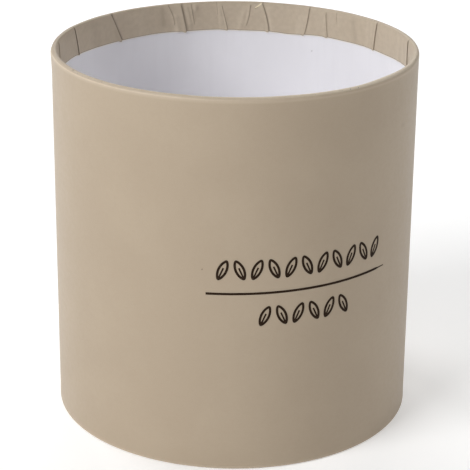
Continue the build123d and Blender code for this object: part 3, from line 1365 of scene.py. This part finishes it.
@dataclass
class FrontPrint:
    """A plain rule at mid-height with a row of leaves above it and a shorter row below."""

    sizes: BoxSizes
    rule_length: float = 91 * MM
    rule_width: float = 1.07 * MM
    rule_height_share: float = 0.4943
    rule_worn: float = 5.5 * MM
    leaf_length: float = 10.2 * MM
    leaf_width: float = 4.6 * MM
    leaf_lean: float = 24.0
    stroke: float = 1.1 * MM
    upper_length: float = 81 * MM
    upper_leaves: int = 11
    upper_gap: float = 11.2 * MM
    lower_length: float = 43 * MM
    lower_leaves: int = 6
    lower_gap: float = 11.0 * MM
    proud: float = 0.03 * MM
    sunk: float = 0.12 * MM
    askew: float = 0.0095

    def bend(self, tree: GeometryTree, geometry: Wire) -> Wire:
        """Bend flat artwork round the wall.

        Args:
            tree: The tree to add to, which has the wall's radius as an input.
            geometry: Artwork with X along the wall, Y outwards and Z up.

        Returns:
            The bent artwork.
        """
        x, y, z = tree.place_parts()
        turn = x / tree["Wall Radius"]
        reach = tree["Wall Radius"] + y
        level = tree.math("MULTIPLY_ADD", x, self.askew, z)
        place = tree.point(reach * tree.math("SINE", turn), reach * tree.math("COSINE", turn) * -1.0, level)
        return tree.moved(geometry, Position=place)

    def film(self, tree: GeometryTree, curve: Wire, stroke: Wire) -> Wire:
        """Give a flat curve the width of a stroke and the thickness of the ink."""
        nib = tree.wire("GeometryNodeCurvePrimitiveQuadrilateral",
                        {"Width": stroke, "Height": self.proud + self.sunk})
        return tree.wire("GeometryNodeCurveToMesh",
                         {"Curve": curve, "Profile Curve": nib, "Fill Caps": True})

    @staticmethod
    def upright(tree: GeometryTree, geometry: Wire) -> Wire:
        """Stand flat artwork up, so that its own Y points upwards."""
        return tree.wire("GeometryNodeTransform",
                         {"Geometry": geometry, "Rotation": (math.pi / 2, 0.0, 0.0)})

    def leaf_tree(self) -> GeometryTree:
        """Build the tree that prints a row of outlined leaves.

        Returns:
            A tree with the row's length, count, height and leaf sizes as inputs.
        """
        tree = GeometryTree("leaf_row", {
            "Wall Radius": 85 * MM, "Row Length": 80 * MM, "Row Height": 90 * MM, "Leaf Length": 9 * MM,
            "Leaf Width": 4 * MM, "Leaf Lean": 0.3, "Stroke": 1 * MM, "Leaves": 9})
        stroke, height = tree["Stroke"], tree["Row Height"]
        outline = tree.wire("GeometryNodeCurvePrimitiveCircle", {"Resolution": 40, "Radius": 1.0})
        x, y, _ = tree.place_parts()
        half_long = (tree["Leaf Length"] - stroke) * 0.5
        half_wide = (tree["Leaf Width"] - stroke) * 0.5
        side = (tree.math("ABSOLUTE", x) * x + x) * 0.5
        leaf = tree.moved(outline, Position=tree.point(side * half_wide, y * half_long))
        vein = tree.wire("GeometryNodeCurvePrimitiveLine", {"Start": tree.point(y=half_long * -1.0),
                                                            "End": tree.point(y=half_long * 0.25)})
        ink = tree.add("GeometryNodeJoinGeometry")
        for curve, width in ((leaf, stroke), (vein, stroke * 0.7)):
            tree.feed(ink.inputs[0], self.film(tree, curve, width))
        half_row = (tree["Row Length"] - tree["Leaf Width"]) * 0.5
        row = tree.wire("GeometryNodeMeshLine",
                        {"Count": tree["Leaves"], "Start Location": tree.point(x=half_row * -1.0, z=height),
                         "Offset": tree.point(x=half_row, z=height)}, mode="END_POINTS")
        odd = tree.math("MODULO", tree.wire("GeometryNodeInputIndex"), 2.0)
        lean = tree.math("MULTIPLY_ADD", odd, -2.0, 1.0) * tree["Leaf Lean"]
        leaves = tree.wire("GeometryNodeInstanceOnPoints",
                           {"Points": row, "Instance": self.upright(tree, Wire(tree, ink.outputs[0])),
                            "Rotation": tree.point(y=lean)})
        real = tree.wire("GeometryNodeRealizeInstances", {"Geometry": leaves})
        return tree.finish(self.bend(tree, real))

    def rule_tree(self) -> GeometryTree:
        """Build the tree that prints a straight rule round the wall."""
        tree = GeometryTree("rule", {"Wall Radius": 85 * MM, "Rule Length": 90 * MM, "Rule Height": 87 * MM,
                                     "Rule Width": 1 * MM, "Worn End": 5 * MM})
        half = tree["Rule Length"] * 0.5
        line = tree.wire("GeometryNodeCurvePrimitiveLine",
                         {"Start": tree.point(x=half * -1.0), "End": tree.point(x=half)})
        even = tree.wire("GeometryNodeResampleCurve", {"Curve": line, "Count": 90})
        ink = self.upright(tree, self.film(tree, even, tree["Rule Width"]))
        x, y, z = tree.place_parts()
        sound = half - tree["Worn End"]
        thin = tree.span(x, sound, sound + 1 * MM, 1.0, 0.45)
        level = tree.math("MULTIPLY_ADD", z, thin, tree["Rule Height"])
        return tree.finish(self.bend(tree, tree.moved(ink, Position=tree.point(x, y, level))))

    def build(self) -> list[bpy.types.Object]:
        """Print the rule and both rows.

        Returns:
            The three inked pieces.
        """
        wall = self.sizes.wrap_radius + (self.proud - self.sunk) / 2
        middle = self.sizes.height * self.rule_height_share
        meshes = [self.rule_tree().run(
            "printed_rule", Finish.INK, Wall_Radius=wall, Rule_Length=self.rule_length, Rule_Height=middle,
            Rule_Width=self.rule_width, Worn_End=self.rule_worn)]
        rows = (
            ("printed_leaves_upper", self.upper_length, self.upper_leaves, self.upper_gap),
            ("printed_leaves_lower", self.lower_length, self.lower_leaves, -self.lower_gap),
        )
        for name, length, leaves, gap in rows:
            meshes.append(self.leaf_tree().run(
                name, Finish.INK, Wall_Radius=wall, Row_Length=length, Leaves=leaves,
                Row_Height=middle + gap, Leaf_Length=self.leaf_length, Leaf_Width=self.leaf_width,
                Leaf_Lean=math.radians(self.leaf_lean), Stroke=self.stroke))
        return [settle(tidy_mesh(mesh), Finish.INK) for mesh in meshes]


# ---- Studio ----


@dataclass(frozen=True)
class Softbox:
    """A square light aimed at the box. Bearings are degrees to the right of the camera's own side."""

    name: str
    bearing: float
    power: float
    elevation: float = 35.0
    distance: float = 3.0
    size: float = 1.6


@dataclass
class Studio:
    """A white floor, soft lights and the camera."""

    camera_bearing: float = -22.6
    camera_pitch: float = 21.305
    camera_distance: float = 0.86046
    camera_roll: float = 0.577
    camera_shift: float = 0.0034
    aim_height: float = 0.0813
    lens: float = 136.52
    sensor: float = 36.0
    world_strength: float = 0.06
    floor_glow: float = 0.25
    floor_gap: float = 0.02 * MM
    floor_reach: float = 12.0
    softboxes: tuple[Softbox, ...] = (
        Softbox("key", -50.0, 59.5),
        Softbox("back_left", -130.0, 33.0),
        Softbox("front", 5.0, 11.5),
        Softbox("back_right", 110.0, 25.0),
        Softbox("back", 180.0, 21.0),
    )

    def direction(self, bearing: float, elevation: float) -> Vector:
        """The unit vector towards a bearing right of the camera and an elevation."""
        turn, rise = math.radians(self.camera_bearing + bearing), math.radians(elevation)
        return Vector((math.sin(turn) * math.cos(rise), -math.cos(turn) * math.cos(rise), math.sin(rise)))

    def build_camera(self) -> None:
        """Place the camera and make it the scene's own."""
        data = bpy.data.cameras.new("camera")
        data.lens = self.lens
        data.sensor_width = self.sensor
        data.shift_x = self.camera_shift
        data.clip_end = 30.0
        camera = add_to_scene("camera", data)
        back = self.direction(0.0, self.camera_pitch)
        place = Vector((0.0, 0.0, self.aim_height)) + back * self.camera_distance
        roll = Matrix.Rotation(math.radians(self.camera_roll), 4, "Z")
        aim = back.to_track_quat("Z", "Y").to_matrix().to_4x4()
        camera.matrix_world = Matrix.Translation(place) @ aim @ roll
        bpy.context.scene.camera = camera

    def build_lights(self) -> None:
        """Hang the softboxes and fill the room with even white light."""
        for box in self.softboxes:
            light = bpy.data.lights.new(box.name, "AREA")
            light.shape = "SQUARE"
            light.size = box.size
            light.energy = box.power
            lamp = add_to_scene(box.name, light)
            away = self.direction(box.bearing, box.elevation)
            lamp.location = away * box.distance + Vector((0.0, 0.0, self.aim_height))
            lamp.rotation_euler = away.to_track_quat("Z", "Y").to_euler()
        world = bpy.data.worlds.new("white_room")
        world.use_nodes = True
        background = world.node_tree.nodes["Background"]
        background.inputs["Color"].default_value = (1.0, 1.0, 1.0, 1.0)
        background.inputs["Strength"].default_value = self.world_strength
        bpy.context.scene.world = world
        bpy.context.scene.view_settings.view_transform = "Standard"

    def build_floor(self) -> None:
        """Lay a wide pale floor just under the foot."""
        shader = Shader("white_sweep")
        dapple = shader.noise(60 * MM, detail=1.0)
        colour = shader.mix(dapple, (0.90, 0.90, 0.90), (0.915, 0.915, 0.915))
        material = shader.dress(Base_Color=colour, Roughness=0.75, Specular_IOR_Level=0.1,
                                Emission_Color=(1.0, 1.0, 1.0), Emission_Strength=self.floor_glow)
        mesh = bpy.data.meshes.new("floor")
        reach, low = self.floor_reach, -self.floor_gap
        corners = [(-reach, -reach, low), (reach, -reach, low), (reach, reach, low), (-reach, reach, low)]
        mesh.from_pydata(corners, [], [(0, 1, 2, 3)])
        mesh.materials.append(material)
        floor = add_to_scene("floor", mesh)
        floor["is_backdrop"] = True

    def build(self) -> None:
        """Set up the whole studio."""
        self.build_camera()
        self.build_lights()
        self.build_floor()


# ---- Assembly ----


def dress_node(node: str, finish: Finish) -> bpy.types.Object:
    """Give a CAD node that stays its finish, and return its object."""
    piece = frame["nodes"][node]
    piece.data.materials.clear()
    piece.data.materials.append(finish.material())
    return piece


def report(pieces: list[bpy.types.Object]) -> None:
    """Log each piece's name and how many faces it has."""
    for piece in pieces:
        LOG.info("%s: %d faces", piece.name, len(piece.data.polygons))


def save_sizes() -> None:
    """Gather the CAD model's box and the visible model's box as plain lists."""
    boxes = {"cad": cad_box, "visual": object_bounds()}
    plain = {name: [list(corner) for corner in corners] for name, corners in boxes.items()}


def main() -> None:
    """Build the box in the order that a box maker would."""
    logging.basicConfig(level=logging.INFO, format="%(name)s %(message)s")
    sizes = BoxSizes.from_frame()
    relief = paper_relief_tree()
    report([dress_node("wall_board", Finish.BOARD), dress_node("joint_tape", Finish.TAPE),
            dress_node("base_board", Finish.BOARD)])
    report([InnerLining(sizes).build(relief)])
    report([PaperWrap(sizes).build(relief)])
    floor_paper = FlatDisc("floor_paper", Finish.LINING, "base_lining", sizes.floor_radius,
                           sizes.floor_low, sizes.floor_high, seed=5.0)
    foot_paper = FlatDisc("foot_paper", Finish.COVER, "base_cover", sizes.cover_radius, 0.0,
                          sizes.board_foot, swell=0.0, dish_radius=sizes.turn_under_radius,
                          dish_height=sizes.board_foot - sizes.wrap_foot, spokes=0.05 * MM, seed=8.0)
    report([floor_paper.build(relief), foot_paper.build(relief)])
    report(FrontPrint(sizes).build())
    Studio().build()
    save_sizes()


if __name__ == "__main__":
    main()
